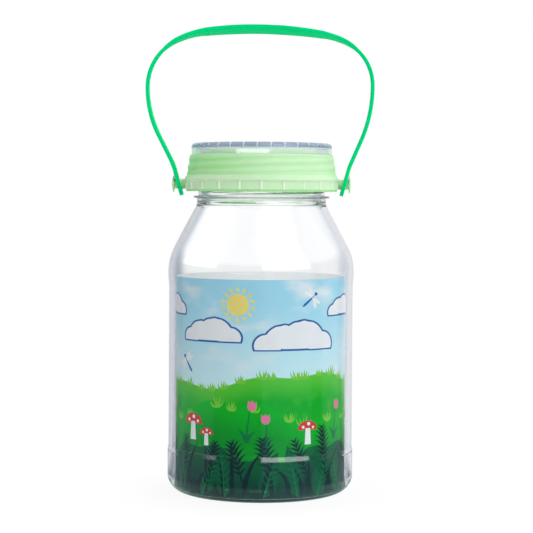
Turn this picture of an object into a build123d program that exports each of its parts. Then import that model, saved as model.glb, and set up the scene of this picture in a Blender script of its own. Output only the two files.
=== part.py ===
"""Bug catcher jar: a clear jar with a rolled card inside, a screw collar, a magnifier cap and a strap.

Millimetres, +Z up. The origin is on the jar's axis, on the surface that the jar stands on.
"""
import math
import os

from build123d import *

# Jar
BODY_R = 42.6
PANEL_DEPTH = 0.4
PANEL_LOW_Z = 19.6
PANEL_TOP_DROP = 9.1
PANEL_STEP = 0.9
PANEL_EDGE_R = 1.2
WALL = 1.2
FLOOR = 1.6
BASE_CORNER_R = 8.0
BASE_INNER_R = 4.5
STAND_WIDTH = 2.6
PUSH_UP = 4.0
SHOULDER_Z = 107.3
SHOULDER_ANGLE = 28.0
SHOULDER_BLEND_R = 24.0
NECK_R = 29.6
NECK_LENGTH = 2.85
NECK_BLEND_R = 3.0
SUPPORT_RING_OUT = 1.6
SUPPORT_RING_T = 1.0
SUPPORT_RING_EDGE_R = 0.4
FINISH_STEP = 0.6
FINISH_WALL = 1.6
FINISH_HEIGHT = 18.4
RIM_EDGE_R = 0.5

# Screw collar
COLLAR_GAP = 3.0
THREAD_ROOM = 2.0
COLLAR_WALL = 3.6
LEDGE_T = 1.3
LIP_INSET = 0.1
LIP_HEIGHT = 1.0
GRIP_HEIGHT = 4.8
BAND_OUT = 0.6
BAND_FACE = 1.1
BAND_CHAMFER = 1.7
SLEEVE_INSET = 0.4
SLEEVE_TAPER = 1.4
COLLAR_EDGE_R = 0.3
SPIGOT_INSET = 6.3
SPIGOT_T = 3.5
SPIGOT_HEIGHT = 2.9
SPIGOT_EDGE_R = 2.0
GRIP_RIB_COUNT = 22
GRIP_RIB_R = 0.6

# Lugs for the strap, on the X axis
LUG_RISE = 3.4
LUG_NECK_R = 2.3
LUG_HEAD_OUT = 1.5
LUG_HEAD_EDGE = 0.35
LUG_HEAD_DOME = 0.75
LUG_ROOT_DEPTH = 1.5
LUG_ROOM = 1.25

# Magnifier cap
CAP_LEDGE = 0.6
CAP_HEIGHT = 5.4
CAP_WALL = 1.4
CAP_EDGE_R = 2.0
CAP_PLATE_T = 1.4
CAP_RIM_WIDTH = 2.6
CAP_RIM_DEPTH = 0.8
CAP_RING_T = 1.2
CAP_RING_CLEAR_Z = 0.6
CAP_FIT = 0.08
KNURL_COUNT = 32
KNURL_WIDTH = 0.7
KNURL_DEPTH = 0.45
KNURL_HEIGHT = 2.3
LENS_INSET = 5.0
LENS_TOP_SAG = 1.2
LENS_LOW_SAG = 3.2
BREATHE_HOLE_COUNT = 12
BREATHE_HOLE_R = 1.2

# Strap: a flat section led along straight runs and tangent arcs, from a lug up to the crown
STRAP_W = 12.0
STRAP_T = 1.6
STRAP_EDGE_R = 0.45
STRAP_END_DROP = 5.2
STRAP_END_CORNER_R = 4.5
STRAP_GAP = 2.6
STRAP_HOLE_CLEARANCE = 0.1
TAB_TILT = 15.5
TAB_RISE = 6.0
TAB_BEND_R = 30.0
LEG_TILT = 25.0
LEG_LENGTH = 11.5
HAUNCH_R = 57.0
SHOULDER_ARC_R = 23.4
EASE_R = 40.0
EASE_SLOPE = 25.3
CROWN_SLOPE = 7.7
STRAP_LEAN = 5.0

# Rolled card
CARD_GAP = 2.2
CARD_T = 0.3
CARD_TOP_RISE = 0.8
CARD_SEAM = 0.4
CARD_CLEARANCE = 0.25

# Heights that stack up the jar
SHOULDER_SLOPE = math.tan(math.radians(SHOULDER_ANGLE))
PANEL_TOP_Z = SHOULDER_Z - PANEL_TOP_DROP
CARD_TOP_Z = PANEL_TOP_Z + CARD_TOP_RISE
NECK_Z = SHOULDER_Z + (BODY_R - NECK_R) / SHOULDER_SLOPE
SUPPORT_RING_Z = NECK_Z + NECK_LENGTH
RIM_Z = SUPPORT_RING_Z + FINISH_HEIGHT
SEAT_Z = RIM_Z + LEDGE_T
COLLAR_Z = SUPPORT_RING_Z + COLLAR_GAP
LUG_Z = COLLAR_Z + LUG_RISE
GRIP_TOP_Z = COLLAR_Z + GRIP_HEIGHT
BAND_CHAMFER_Z = GRIP_TOP_Z + BAND_FACE
BAND_TOP_Z = BAND_CHAMFER_Z + BAND_CHAMFER

# Radii that follow the wall and the neck
INNER_R = BODY_R - PANEL_DEPTH - WALL
CARD_R = INNER_R - CARD_GAP
SUPPORT_RING_R = NECK_R + SUPPORT_RING_OUT
FINISH_R = NECK_R - FINISH_STEP
MOUTH_R = FINISH_R - FINISH_WALL
COLLAR_BORE_R = FINISH_R + THREAD_ROOM
GRIP_R = COLLAR_BORE_R + COLLAR_WALL
LIP_R = GRIP_R - LIP_INSET
BAND_R = GRIP_R + BAND_OUT
SLEEVE_LOW_R = GRIP_R - SLEEVE_INSET
SLEEVE_TOP_R = SLEEVE_LOW_R - SLEEVE_TAPER
SPIGOT_R = SLEEVE_TOP_R - SPIGOT_INSET
WINDOW_R = SPIGOT_R - SPIGOT_T
CAP_R = SLEEVE_TOP_R - CAP_LEDGE
LENS_R = WINDOW_R - LENS_INSET
BREATHE_CIRCLE_R = (LENS_R + WINDOW_R) / 2
STRAP_LUG_X = GRIP_R + STRAP_GAP + STRAP_T / 2
LUG_HEAD_R = LUG_NECK_R + LUG_HEAD_OUT
LUG_HEAD_X = STRAP_LUG_X + STRAP_T / 2 + LUG_ROOM


def turned(*edges):
    """Solid of revolution about Z from a closed profile drawn as (radius, height)."""
    return revolve(Plane.XZ * make_face(edges), axis=Axis.Z)


def jar_body():
    """Jar: one wall profile from the standing ring up to the rim and down the inside to the floor."""
    panel_r = BODY_R - PANEL_DEPTH
    stand_r = BODY_R - BASE_CORNER_R - STAND_WIDTH
    shell = BODY_R - INNER_R
    inner_shoulder_z = SHOULDER_Z - shell * math.tan(math.radians(SHOULDER_ANGLE / 2))
    inner_neck_z = inner_shoulder_z + (INNER_R - MOUTH_R) / SHOULDER_SLOPE
    support_top_z = SUPPORT_RING_Z + SUPPORT_RING_T
    corners = [
        ((BODY_R, 0), BASE_CORNER_R),
        ((BODY_R, PANEL_LOW_Z), PANEL_EDGE_R),
        ((panel_r, PANEL_LOW_Z + PANEL_STEP), PANEL_EDGE_R),
        ((panel_r, PANEL_TOP_Z - PANEL_STEP), PANEL_EDGE_R),
        ((BODY_R, PANEL_TOP_Z), PANEL_EDGE_R),
        ((BODY_R, SHOULDER_Z), SHOULDER_BLEND_R),
        ((NECK_R, NECK_Z), NECK_BLEND_R),
        ((NECK_R, SUPPORT_RING_Z), 0),
        ((SUPPORT_RING_R, SUPPORT_RING_Z), SUPPORT_RING_EDGE_R),
        ((SUPPORT_RING_R, support_top_z), SUPPORT_RING_EDGE_R),
        ((FINISH_R, support_top_z), 0),
        ((FINISH_R, RIM_Z), RIM_EDGE_R),
        ((MOUTH_R, RIM_Z), RIM_EDGE_R),
        ((MOUTH_R, inner_neck_z), NECK_BLEND_R + shell),
        ((INNER_R, inner_shoulder_z), SHOULDER_BLEND_R - shell),
        ((INNER_R, FLOOR), BASE_INNER_R),
    ]
    points = [(stand_r, 0)] + [point for point, _ in corners] + [(stand_r, FLOOR)]
    wall = FilletPolyline(*points, radius=[radius for _, radius in corners])
    floor_top = TangentArc((0, PUSH_UP + FLOOR), (stand_r, FLOOR), tangent=(1, 0))
    floor_under = TangentArc((0, PUSH_UP), (stand_r, 0), tangent=(1, 0))
    middle = Line((0, PUSH_UP), (0, PUSH_UP + FLOOR))
    return turned(*wall.edges(), floor_top, floor_under, middle)


def strap_lug():
    """Mushroom lug on the +X side: a round neck and a thin domed head."""
    root_x = GRIP_R - LUG_ROOT_DEPTH
    edge_x = LUG_HEAD_X + LUG_HEAD_EDGE
    stem = Polyline(
        (edge_x + LUG_HEAD_DOME, 0),
        (root_x, 0),
        (root_x, LUG_NECK_R),
        (LUG_HEAD_X, LUG_NECK_R),
        (LUG_HEAD_X, LUG_HEAD_R),
        (edge_x, LUG_HEAD_R),
    )
    dome = TangentArc((edge_x + LUG_HEAD_DOME, 0), (edge_x, LUG_HEAD_R), tangent=(0, 1))
    lug = revolve(Plane.XZ * make_face([*stem.edges(), dome]), axis=Axis.X)
    return Pos(0, 0, LUG_Z) * lug


def lid_collar():
    """Screw collar: grip band, tapered sleeve, ledge on the jar's rim and a ring round the window."""
    lip_top_z = COLLAR_Z + LIP_HEIGHT
    corners = [
        ((COLLAR_BORE_R, COLLAR_Z), COLLAR_EDGE_R),
        ((LIP_R, COLLAR_Z), COLLAR_EDGE_R),
        ((LIP_R, lip_top_z), 0),
        ((GRIP_R, lip_top_z), 0),
        ((GRIP_R, GRIP_TOP_Z), 0),
        ((BAND_R, GRIP_TOP_Z), COLLAR_EDGE_R),
        ((BAND_R, BAND_CHAMFER_Z), COLLAR_EDGE_R),
        ((SLEEVE_LOW_R, BAND_TOP_Z), COLLAR_EDGE_R),
        ((SLEEVE_TOP_R, SEAT_Z), COLLAR_EDGE_R),
        ((SPIGOT_R, SEAT_Z), COLLAR_EDGE_R),
        ((SPIGOT_R, SEAT_Z + SPIGOT_HEIGHT), SPIGOT_EDGE_R),
        ((WINDOW_R, SEAT_Z + SPIGOT_HEIGHT), COLLAR_EDGE_R),
        ((WINDOW_R, RIM_Z), 0),
        ((COLLAR_BORE_R, RIM_Z), COLLAR_EDGE_R),
    ]
    points = [point for point, _ in corners]
    outline = FilletPolyline(*points, radius=[radius for _, radius in corners], close=True)
    collar = turned(*outline.edges())
    rib_height = GRIP_TOP_Z - lip_top_z
    rib = Cylinder(GRIP_RIB_R, rib_height, align=(Align.CENTER, Align.CENTER, Align.MIN))
    ribs = [place * rib for place in PolarLocations(GRIP_R, GRIP_RIB_COUNT, start_angle=-90)]
    collar += [Pos(0, 0, lip_top_z) * each for each in ribs]
    lug = strap_lug()
    return collar + [lug, mirror(lug, Plane.YZ)]


def magnifier_cap():
    """Clear cap: skirt on the collar's ledge, ring round the spigot, lens, knurls and breathe holes."""
    top_z = SEAT_Z + CAP_HEIGHT
    plate_top_z = top_z - CAP_RIM_DEPTH
    plate_low_z = plate_top_z - CAP_PLATE_T
    ring_r = SPIGOT_R + CAP_FIT
    ring_z = SEAT_Z + CAP_RING_CLEAR_Z
    skirt_r = CAP_R - CAP_WALL
    rim_r = CAP_R - CAP_RIM_WIDTH
    corners = [
        ((rim_r, plate_top_z), 0),
        ((rim_r, top_z), 0),
        ((CAP_R, top_z), CAP_EDGE_R),
        ((CAP_R, SEAT_Z), 0),
        ((skirt_r, SEAT_Z), 0),
        ((skirt_r, plate_low_z), 0),
        ((ring_r + CAP_RING_T, plate_low_z), 0),
        ((ring_r + CAP_RING_T, ring_z), 0),
        ((ring_r, ring_z), 0),
        ((ring_r, plate_low_z), 0),
    ]
    points = [(LENS_R, plate_top_z)] + [point for point, _ in corners] + [(LENS_R, plate_low_z)]
    dish = FilletPolyline(*points, radius=[radius for _, radius in corners])
    lens_top = TangentArc((0, plate_top_z + LENS_TOP_SAG), (LENS_R, plate_top_z), tangent=(1, 0))
    lens_low = TangentArc((0, plate_low_z - LENS_LOW_SAG), (LENS_R, plate_low_z), tangent=(1, 0))
    middle = Line((0, plate_low_z - LENS_LOW_SAG), (0, plate_top_z + LENS_TOP_SAG))
    cap = turned(*dish.edges(), lens_top, lens_low, middle)
    groove = Box(2 * KNURL_DEPTH, KNURL_WIDTH, KNURL_HEIGHT, align=(Align.CENTER, Align.CENTER, Align.MAX))
    grooves = [place * groove for place in PolarLocations(CAP_R, KNURL_COUNT)]
    cap -= [Pos(0, 0, top_z) * each for each in grooves]
    hole = Cylinder(BREATHE_HOLE_R, 2 * CAP_PLATE_T)
    holes = [place * hole for place in PolarLocations(BREATHE_CIRCLE_R, BREATHE_HOLE_COUNT)]
    cap -= [Pos(0, 0, plate_low_z + CAP_PLATE_T / 2) * each for each in holes]
    return cap


def heading(tilt):
    """Direction in the strap's plane at a tilt from upright, positive towards +X."""
    angle = math.radians(tilt)
    return (math.sin(angle), math.cos(angle))


def strap_line():
    """Centre line of the strap in (x, z): the +X half from its end up to the crown, then its mirror."""
    tab_x, tab_z = heading(TAB_TILT)
    tab_start = -STRAP_END_DROP / tab_z
    start = (STRAP_LUG_X + tab_start * tab_x, LUG_Z + tab_start * tab_z)
    knee = (STRAP_LUG_X + TAB_RISE * tab_x / tab_z, LUG_Z + TAB_RISE)
    tab = Line(start, knee)
    knee_arc = JernArc(knee, tab % 1, TAB_BEND_R, TAB_TILT - LEG_TILT)
    leg = Line(knee_arc @ 1, knee_arc @ 1 + LEG_LENGTH * (knee_arc % 1))
    haunch = JernArc(leg @ 1, leg % 1, HAUNCH_R, LEG_TILT)
    shoulder = JernArc(haunch @ 1, haunch % 1, SHOULDER_ARC_R, 90 - EASE_SLOPE)
    ease = JernArc(shoulder @ 1, shoulder % 1, EASE_R, EASE_SLOPE - CROWN_SLOPE)
    crown_r = (ease @ 1).X / math.sin(math.radians(CROWN_SLOPE))
    crown = JernArc(ease @ 1, ease % 1, crown_r, CROWN_SLOPE)
    half = [tab, knee_arc, leg, haunch, shoulder, ease, crown]
    other_half = [edge.mirror(Plane.YZ) for edge in half]
    return Wire([*half, *other_half])


def carry_strap():
    """Strap: the section swept along its line, rounded at both ends, with a hole for each lug."""
    line = Plane.XZ * strap_line()
    start = Plane(origin=line @ 0, x_dir=(0, 1, 0), z_dir=line % 0)
    strap = sweep(start * RectangleRounded(STRAP_W, STRAP_T, STRAP_EDGE_R), path=line)
    box = strap.bounding_box()
    end_z = (line @ 0).Z
    outline = RectangleRounded(STRAP_W, 2 * (box.max.Z - end_z), STRAP_END_CORNER_R)
    end_trim = Plane.YZ * Pos(0, box.max.Z) * outline
    strap &= extrude(end_trim, box.max.X, both=True)
    hole = Cylinder(LUG_NECK_R + STRAP_HOLE_CLEARANCE, 2 * box.max.X, rotation=(0, 90, 0))
    strap -= Pos(0, 0, LUG_Z) * hole
    return strap.rotate(Axis((0, 0, LUG_Z), (1, 0, 0)), -STRAP_LEAN)


def insert_card():
    """Card rolled into a ring that stands on the jar's rounded inner corner, with its seam at the back."""
    reach = CARD_R - (INNER_R - BASE_INNER_R)
    bottom_z = FLOOR + BASE_INNER_R - math.sqrt(BASE_INNER_R**2 - reach**2) + CARD_CLEARANCE
    height = CARD_TOP_Z - bottom_z
    ring = Circle(CARD_R) - Circle(CARD_R - CARD_T)
    seam = Pos(0, CARD_R) * Rectangle(CARD_SEAM, CARD_R)
    return Pos(0, 0, bottom_z) * extrude(ring - seam, height)


def main():
    os.makedirs("parts", exist_ok=True)
    pieces = {
        "jar_body": jar_body(),
        "insert_card": insert_card(),
        "lid_collar": lid_collar(),
        "magnifier_cap": magnifier_cap(),
        "carry_strap": carry_strap(),
    }
    for name, piece in pieces.items():
        export_step(piece, f"parts/{name}.step")


main()
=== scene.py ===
"""Looks of the bug catcher jar: clear jar, rolled printed card, screw collar, magnifier cap and strap."""
import math
import random

import bmesh
import bpy
from mathutils import Matrix, Vector


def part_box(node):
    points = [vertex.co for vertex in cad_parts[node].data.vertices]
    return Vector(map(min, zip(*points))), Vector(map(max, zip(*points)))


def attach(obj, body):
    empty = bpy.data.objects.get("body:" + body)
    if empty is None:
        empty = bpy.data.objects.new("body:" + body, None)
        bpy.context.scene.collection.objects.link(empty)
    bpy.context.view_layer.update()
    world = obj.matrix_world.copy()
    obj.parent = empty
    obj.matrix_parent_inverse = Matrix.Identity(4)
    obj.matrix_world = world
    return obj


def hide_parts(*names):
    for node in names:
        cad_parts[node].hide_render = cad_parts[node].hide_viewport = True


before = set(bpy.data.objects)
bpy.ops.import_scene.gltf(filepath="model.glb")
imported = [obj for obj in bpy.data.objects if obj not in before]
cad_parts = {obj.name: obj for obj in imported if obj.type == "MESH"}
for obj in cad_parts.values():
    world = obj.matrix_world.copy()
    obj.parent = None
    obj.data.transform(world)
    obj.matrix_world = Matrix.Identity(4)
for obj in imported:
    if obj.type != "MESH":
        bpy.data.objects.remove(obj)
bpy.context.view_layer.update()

MM = 0.001
TURN = 2 * math.pi
SHARP = math.radians(30)
FILLET_STEP = math.radians(9)
FILLET_FLAT = 0.22


def frame_mm(node):
    """Lowest and highest corner of a node of the frame, in millimetres."""
    low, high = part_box(node)
    return low / MM, high / MM


# Sizes in millimetres. The frame gives the outer ones, and the rest hang on those.
JAR_HIGH = frame_mm("jar_body")[1]
COLLAR_LOW, COLLAR_HIGH = frame_mm("lid_collar")
CARD_LOW, CARD_HIGH = frame_mm("insert_card")

# Jar
BODY_R = JAR_HIGH.x
RIM_Z = JAR_HIGH.z
PANEL_IN = 0.4
PANEL_R = BODY_R - PANEL_IN
PANEL_LOW_Z = 19.0
PANEL_TOP_Z = 98.2
PANEL_LOW_STEP = 2.2
PANEL_LOW_EDGE = 0.9
PANEL_TOP_STEP = 3.0
PANEL_TOP_EDGE = 6.0
SHELL = 1.6
INNER_R = BODY_R - SHELL
FLOOR = 1.6
BASE_CORNER = 8.0
BASE_INNER = 4.5
STAND_R = BODY_R - BASE_CORNER - 2.6
PUSH_UP = 4.0
SHOULDER_Z = 107.3
SHOULDER_TILT = math.radians(28)
SHOULDER_BLEND = 24.0
NECK_R = BODY_R - 13.0
NECK_BLEND = 4.5
SUPPORT_Z = RIM_Z - 18.4
SUPPORT_R = NECK_R + 1.6
SUPPORT_T = 1.0
FINISH_R = NECK_R - 0.6
MOUTH_R = FINISH_R - SHELL
NECK_EDGE = 0.3
SUPPORT_EDGE = 0.4
RIM_EDGE = 0.5
JAR_STEP = math.radians(5)
JAR_FACETS = 240
FLOOR_STEPS = 24

# Screw thread of the neck and the collar
THREAD_PITCH = 3.5
THREAD_STARTS = 2
THREAD_FRONT_Z = 150.6
NECK_THREAD_H = 1.3
NECK_THREAD_W = 1.7
NECK_THREAD_STEP = 0.22
BORE_THREAD_H = 1.0
BORE_THREAD_STEP = 0.25
SLEEVE_WAVE = 0.19

# Collar
LUG_HEAD_R = 3.8
LUG_Z = COLLAR_LOW.z + LUG_HEAD_R
COLLAR_Z = LUG_Z - 3.4
BORE_R = FINISH_R + 2.0
BAND_R = COLLAR_HIGH.y
GRIP_R = BAND_R - 0.6
LIP_R = GRIP_R - 0.1
LIP_TOP_Z = COLLAR_Z + 1.0
GRIP_TOP_Z = COLLAR_Z + 4.8
BAND_FACE_Z = GRIP_TOP_Z + 1.1
BAND_TOP_Z = BAND_FACE_Z + 1.7
SLEEVE_LOW_R = GRIP_R - 0.4
SLEEVE_TOP_R = SLEEVE_LOW_R - 1.4
SEAT_Z = RIM_Z + 1.3
SPIGOT_R = SLEEVE_TOP_R - 6.3
SPIGOT_TOP_Z = COLLAR_HIGH.z
WINDOW_R = SPIGOT_R - 3.5
COLLAR_EDGE = 0.3
BAND_EDGE = 0.6
SLEEVE_FOOT_EDGE = 0.5
SPIGOT_EDGE = 2.0
WINDOW_EDGE = 0.2
GRIP_RIBS = 22
GRIP_RIB_R = 0.6
RIB_PITCH = TURN / GRIP_RIBS

# Lugs
LUG_NECK_R = 2.3
LUG_TIP_X = COLLAR_HIGH.x
LUG_DOME = 0.75
LUG_EDGE = 0.35
LUG_HEAD_X = LUG_TIP_X - LUG_DOME - LUG_EDGE
LUG_ROOT_X = GRIP_R - 1.5
LUG_NECK_EDGE = 0.4
LUG_HEAD_EDGE = 0.15
LUG_FACETS = 48
LUG_AXIS = Matrix.Translation((0, 0, LUG_Z * MM))

# Magnifier cap
CAP_R = SLEEVE_TOP_R - 0.6
CAP_TOP_Z = SEAT_Z + 5.4
CAP_EDGE = 2.0
CAP_SKIRT_R = CAP_R - 1.4
CAP_RIM_R = CAP_R - 2.6
PLATE_TOP_Z = CAP_TOP_Z - 0.8
PLATE_LOW_Z = PLATE_TOP_Z - 1.4
CAP_RING_R = SPIGOT_R + 0.08
CAP_RING_T = 1.2
CAP_RING_Z = SEAT_Z + 0.6
CAP_RIM_EDGE = 0.25
CAP_FOOT_EDGE = 0.15
PLATE_EDGE = 0.3
RING_EDGE = 0.2
KNURLS = 32
KNURL_PITCH = TURN / KNURLS
KNURL_GAP = 0.7
KNURL_GAP_HALF = KNURL_GAP / 2 / CAP_R
KNURL_DEPTH = 0.45
KNURL_LOW_Z = CAP_TOP_Z - 2.3
KNURL_TURN = math.radians(-3.3)
RIM_LINE = 0.4
LENS_R = WINDOW_R - 5.0
LENS_TOP_SAG = 1.2
LENS_LOW_SAG = 3.2
LENS_STEPS = 20
BREATHE_HOLES = 12
BREATHE_HOLE_R = 1.2
BREATHE_CIRCLE_R = (LENS_R + WINDOW_R) / 2
HOLE_FACETS = 32

# Strap, which is soft: its right and left halves differ a little, and it twists along its way
STRAP_W = 12.0
STRAP_T = 1.6
STRAP_EDGE = 0.45
STRAP_LUG_X = GRIP_R + 2.6 + STRAP_T / 2
STRAP_HOLE_R = LUG_NECK_R + 0.1
STRAP_END_DROP = 5.2
STRAP_END_CORNER = 4.5
TAB_TILT = 15.5
TAB_RISE = 6.0
TAB_BEND_R = 30.0
RIGHT_LEG_TILT = 23.5
LEFT_LEG_TILT = 26.8
RIGHT_HAUNCH_R = 63.6
LEFT_HAUNCH_R = 50.9
RIGHT_SHOULDER_R = 22.4
LEFT_SHOULDER_R = 24.4
EASE_R = 40.0
RIGHT_EASE_SLOPE = 24.9
LEFT_EASE_SLOPE = 25.8
RIGHT_CROWN_SLOPE = 9.5
LEFT_CROWN_SLOPE = 6.0
CROWN_R = 197.6
BOW_TILT = -0.64
STRAP_LEAN = math.radians(5)
STRAP_STEP = 1.2
STRAP_SAG = 0.9957
# Twist in degrees at stops of the strap's own tilt, from the left leg over the crown to the right leg
STRAP_TWIST = (
    (-202, -2.1), (-180, 2.2), (-135, 8.4), (-106, 1.9), (-99, -0.5), (-93, -4.8),
    (-86, -4.8), (-82, -1.8), (-78, 1.2), (-70, 3.2), (-45, 8.4), (0, 2.2), (24, -1.3),
)

# Card
CARD_R = CARD_HIGH.x
CARD_T = 0.3
CARD_LOW_Z = CARD_LOW.z
CARD_TOP_Z = CARD_HIGH.z
CARD_SEAM = 0.05
CARD_FACETS = 240
CARD_ROWS = 8
INK_STEP = 0.03
INK_FACET = 1.4
LEAF_TIP = 0.02

# Camera, from the photograph's perspective
PHOTO_SIZE = 533
FOCAL_PX = 1750
CAMERA_X = 2.5
CAMERA_Y = -804.0
CAMERA_Z = 138.3
CAMERA_PITCH = math.radians(2.5)
CAMERA_ROLL = math.radians(0.35)
SENSOR = 36.0

# Studio light
ROOM_LIGHT = 0.58
BACK_LIGHT = 2.0
MIRROR_FRONT = (0.05, 0.06, 0.07, 1)
MIRROR_WINDOW = (0.13, 0.24, 0.26, 1)
MIRROR_LEFT = (0.16, 0.23, 0.26, 1)
MIRROR_RIGHT = (0.20, 0.26, 0.28, 1)
MIRROR_FLAG = (0.05, 0.06, 0.08, 1)
MIRROR_BACK_LEFT = (0.60, 0.62, 0.68, 1)
MIRROR_BACK_RIGHT = (0.72, 0.74, 0.79, 1)
MIRROR_BACK = (0.95, 0.96, 0.97, 1)
MIRROR_TOP = (1.35, 1.38, 1.42, 1)
MIRROR_PANEL = (3.6, 3.7, 3.8, 1)
MIRROR_LEFT_PANEL = (1.7, 1.75, 1.8, 1)
MIRROR_SLIT = (6.0, 6.1, 6.2, 1)
SLIT_LOW = (0.017, 0.019)
SLIT_TOP = (0.0238, 0.0230)
MIRROR_TABLE = (0.34, 0.52, 0.47, 1)
THROUGH_LEFT = (0.30, 0.34, 0.42, 1)
THROUGH_RIGHT = (0.72, 0.75, 0.80, 1)
THROUGH_TOP = (0.80, 0.84, 0.88, 1)
THROUGH_FAR = (0.80, 0.82, 0.85, 1)


# Outlines and meshes

def arc_points(centre, radius, start, end, count):
    """Points on an arc, both ends included, as (radius, height)."""
    angles = [start + (end - start) * i / count for i in range(count + 1)]
    return [(centre[0] + radius * math.cos(a), centre[1] + radius * math.sin(a)) for a in angles]


def nearest(value, pitch):
    """Distance past the nearest multiple of a pitch, from minus to plus half a pitch."""
    return (value + pitch / 2) % pitch - pitch / 2


def rounded(corners, step=FILLET_STEP):
    """Outline through (radius, height, blend) corners, each blend drawn as a tangent arc. A point a little
    past each end of an arc keeps the flats flat."""
    points = []
    for i, (r, z, blend) in enumerate(corners):
        if not blend or not 0 < i < len(corners) - 1:
            points.append((r, z))
            continue
        here = Vector((r, z))
        back = (Vector(corners[i - 1][:2]) - here).normalized()
        ahead = (Vector(corners[i + 1][:2]) - here).normalized()
        half = back.angle(ahead) / 2
        reach = blend / math.tan(half)
        centre = here + (back + ahead).normalized() * blend / math.sin(half)
        first = here + back * reach - centre
        last = here + ahead * reach - centre
        start = math.atan2(first.y, first.x)
        turn = nearest(math.atan2(last.y, last.x) - start, TURN)
        steps = max(2, math.ceil(abs(turn) / step))
        points.append(tuple(here + back * (reach + FILLET_FLAT)))
        points += arc_points(centre, blend, start, start + turn, steps)
        points.append(tuple(here + ahead * (reach + FILLET_FLAT)))
    return points


def dome(edge_r, edge_z, middle_z, count):
    """Arc from the axis out to an edge, level on the axis."""
    rise = edge_z - middle_z
    radius = (edge_r**2 + rise**2) / (2 * rise)
    centre_z = middle_z + radius
    angle = math.asin(edge_r / radius)
    return [
        (radius * math.sin(angle * i / count), centre_z - radius * math.cos(angle * i / count))
        for i in range(count + 1)
    ]


def divided(start, end, step):
    """Points from start to end in equal steps, without the ends."""
    run = Vector(end) - Vector(start)
    count = max(1, math.ceil(run.length / step))
    return [tuple(Vector(start) + run * i / count) for i in range(1, count)]


def even_angles(count):
    """Angles of a full turn in equal steps, from the front."""
    return [TURN * i / count for i in range(count)]


def make_object(name, verts, faces):
    """Mesh object from points in millimetres, smooth except where faces meet at a sharp angle."""
    mesh = bpy.data.meshes.new(name)
    mesh.from_pydata([Vector(v) * MM for v in verts], [], faces)
    work = bmesh.new()
    work.from_mesh(mesh)
    bmesh.ops.recalc_face_normals(work, faces=work.faces)
    work.to_mesh(mesh)
    work.free()
    mesh.shade_smooth()
    mesh.set_sharp_from_angle(angle=SHARP)
    piece = bpy.data.objects.new(name, mesh)
    bpy.context.scene.collection.objects.link(piece)
    return piece


def lathe(name, outline, angles, shape=None, closed=False):
    """Mesh turned about Z. Angle 0 is the front, -Y, and grows to the right. shape moves single points."""
    verts = []
    rings = []
    for r, z in outline:
        if r < 1e-6:
            rings.append([len(verts)] * len(angles))
            verts.append((0, 0, z))
            continue
        ring = []
        for angle in angles:
            out = shape(r, z, angle) if shape else r
            ring.append(len(verts))
            verts.append((out * math.sin(angle), -out * math.cos(angle), z))
        rings.append(ring)
    pairs = list(zip(rings, rings[1:]))
    if closed:
        pairs.append((rings[-1], rings[0]))
    faces = []
    for low, high in pairs:
        for i in range(len(angles)):
            j = (i + 1) % len(angles)
            corners = [low[i], low[j], high[j], high[i]]
            faces.append(list(dict.fromkeys(corners)))
    return make_object(name, verts, faces)


def cut_holes(piece, cutters):
    """Cuts the cutters out of a piece and removes them."""
    for cutter in cutters:
        tool = piece.modifiers.new("hole", "BOOLEAN")
        tool.operation = "DIFFERENCE"
        tool.solver = "EXACT"
        tool.object = cutter
    solved = piece.evaluated_get(bpy.context.evaluated_depsgraph_get())
    mesh = bpy.data.meshes.new_from_object(solved)
    piece.modifiers.clear()
    piece.data = mesh
    for cutter in cutters:
        bpy.data.objects.remove(cutter)
    mesh.set_sharp_from_angle(angle=SHARP)


def smooth_step(low, high, value):
    share = min(1.0, max(0.0, (value - low) / (high - low)))
    return share * share * (3 - 2 * share)


def faded_ends(z, low, high, low_run, high_run):
    """Share of a relief that runs out towards both of its ends."""
    return smooth_step(low, low + low_run, z) * smooth_step(high, high - high_run, z)


def thread_offset(z, angle):
    """Height above the nearest crest of the thread, from minus to plus half a pitch."""
    rise = z - THREAD_FRONT_Z - THREAD_STARTS * THREAD_PITCH * nearest(angle, TURN) / TURN
    return nearest(rise, THREAD_PITCH)


# Materials

def shader_group(name, inputs, outputs):
    """Empty shader node group with named sockets, and its input and output nodes."""
    group = bpy.data.node_groups.new(name, "ShaderNodeTree")
    for label, kind, value in inputs:
        socket = group.interface.new_socket(name=label, in_out="INPUT", socket_type=kind)
        socket.default_value = value
    for label, kind in outputs:
        group.interface.new_socket(name=label, in_out="OUTPUT", socket_type=kind)
    return group, group.nodes.new("NodeGroupInput"), group.nodes.new("NodeGroupOutput")


def feed(tree, socket, value):
    """Links a socket to another one, or sets it to a value."""
    if isinstance(value, bpy.types.NodeSocket):
        tree.links.new(value, socket)
    else:
        socket.default_value = value


def fill(tree, made, **inputs):
    """Feeds a node's inputs by their names, with an underscore for each space."""
    for label, value in inputs.items():
        feed(tree, made.inputs[label.replace("_", " ")], value)
    return made


def node(tree, kind, **inputs):
    """New node. Each input is a socket to link or a value to set."""
    return fill(tree, tree.nodes.new(kind), **inputs)


def placed(tree, shared, **inputs):
    """Shared node group, placed in a tree with its own values."""
    group = tree.nodes.new("ShaderNodeGroup")
    group.node_tree = shared
    return fill(tree, group, **inputs)


def maths(tree, operation, *values):
    made = tree.nodes.new("ShaderNodeMath")
    made.operation = operation
    for socket, value in zip(made.inputs, values):
        feed(tree, socket, value)
    return made.outputs[0]


def vector_maths(tree, operation, *values):
    made = tree.nodes.new("ShaderNodeVectorMath")
    made.operation = operation
    for socket, value in zip(made.inputs, values):
        feed(tree, socket, value)
    return made


def tint(tree, factor, under, over, way="MIX"):
    """Colour over colour by a factor."""
    made = tree.nodes.new("ShaderNodeMix")
    made.data_type = "RGBA"
    made.blend_type = way
    feed(tree, made.inputs[0], factor)
    feed(tree, made.inputs[6], under)
    feed(tree, made.inputs[7], over)
    return made.outputs[2]


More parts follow.
